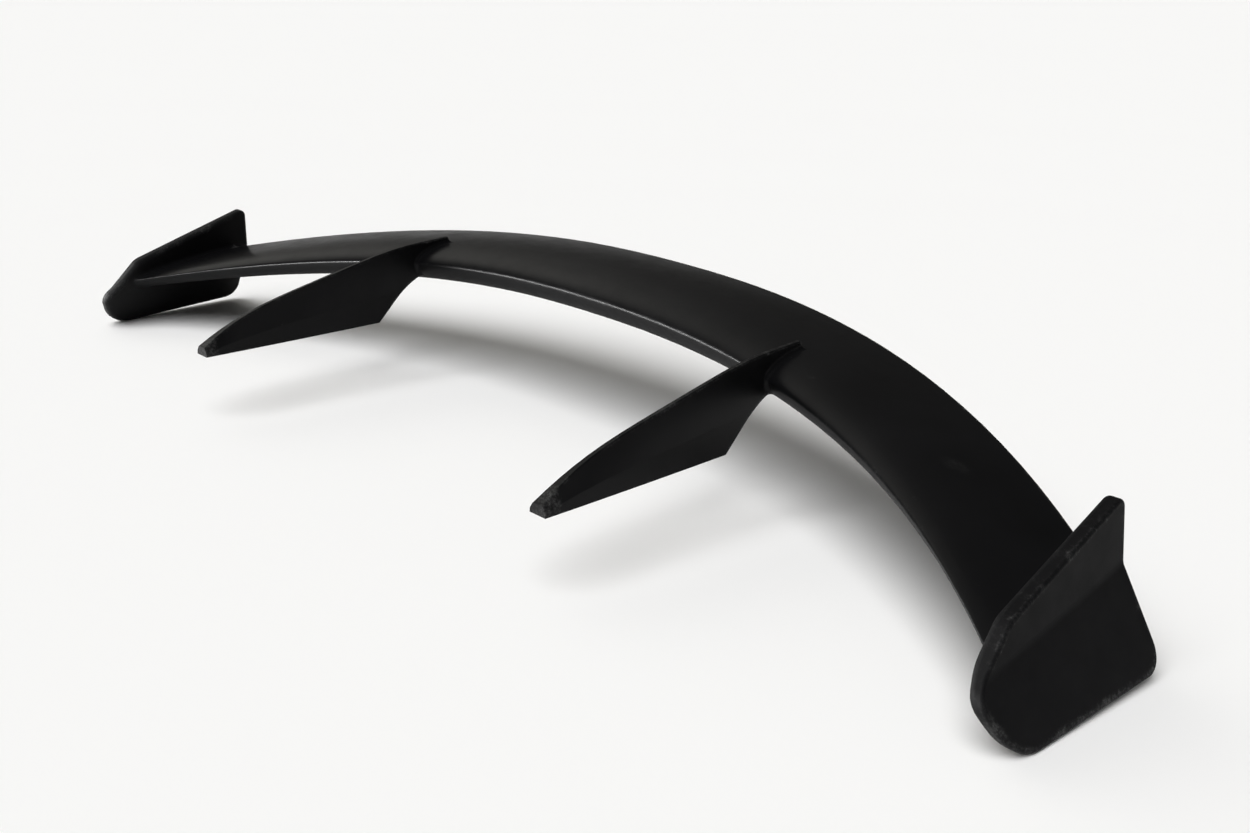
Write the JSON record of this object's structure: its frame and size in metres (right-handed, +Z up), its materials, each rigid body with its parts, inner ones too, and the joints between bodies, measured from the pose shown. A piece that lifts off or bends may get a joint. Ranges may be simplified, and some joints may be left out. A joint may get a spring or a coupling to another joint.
{
  "type": "rear spoiler",
  "caption": "Arched, swept-back spoiler blade on forward-reaching legs with flat feet, closed at its ends by bent plates, for bolting to a car's tailgate.",
  "frame": {"origin": "on the plane of the feet, midway between the two legs and midway along their feet", "axes": "+X across the car, +Y towards the rear, +Z up"},
  "size_m": [1.202, 0.3964, 0.1483],
  "materials": {
    "satin_black": "satin black moulded skin",
    "insert_brass": "turned"
  },
  "bodies": {
    "root": {"spoiler_body": "satin_black", "foot_inserts": "insert_brass"}
  },
  "joints": []
}
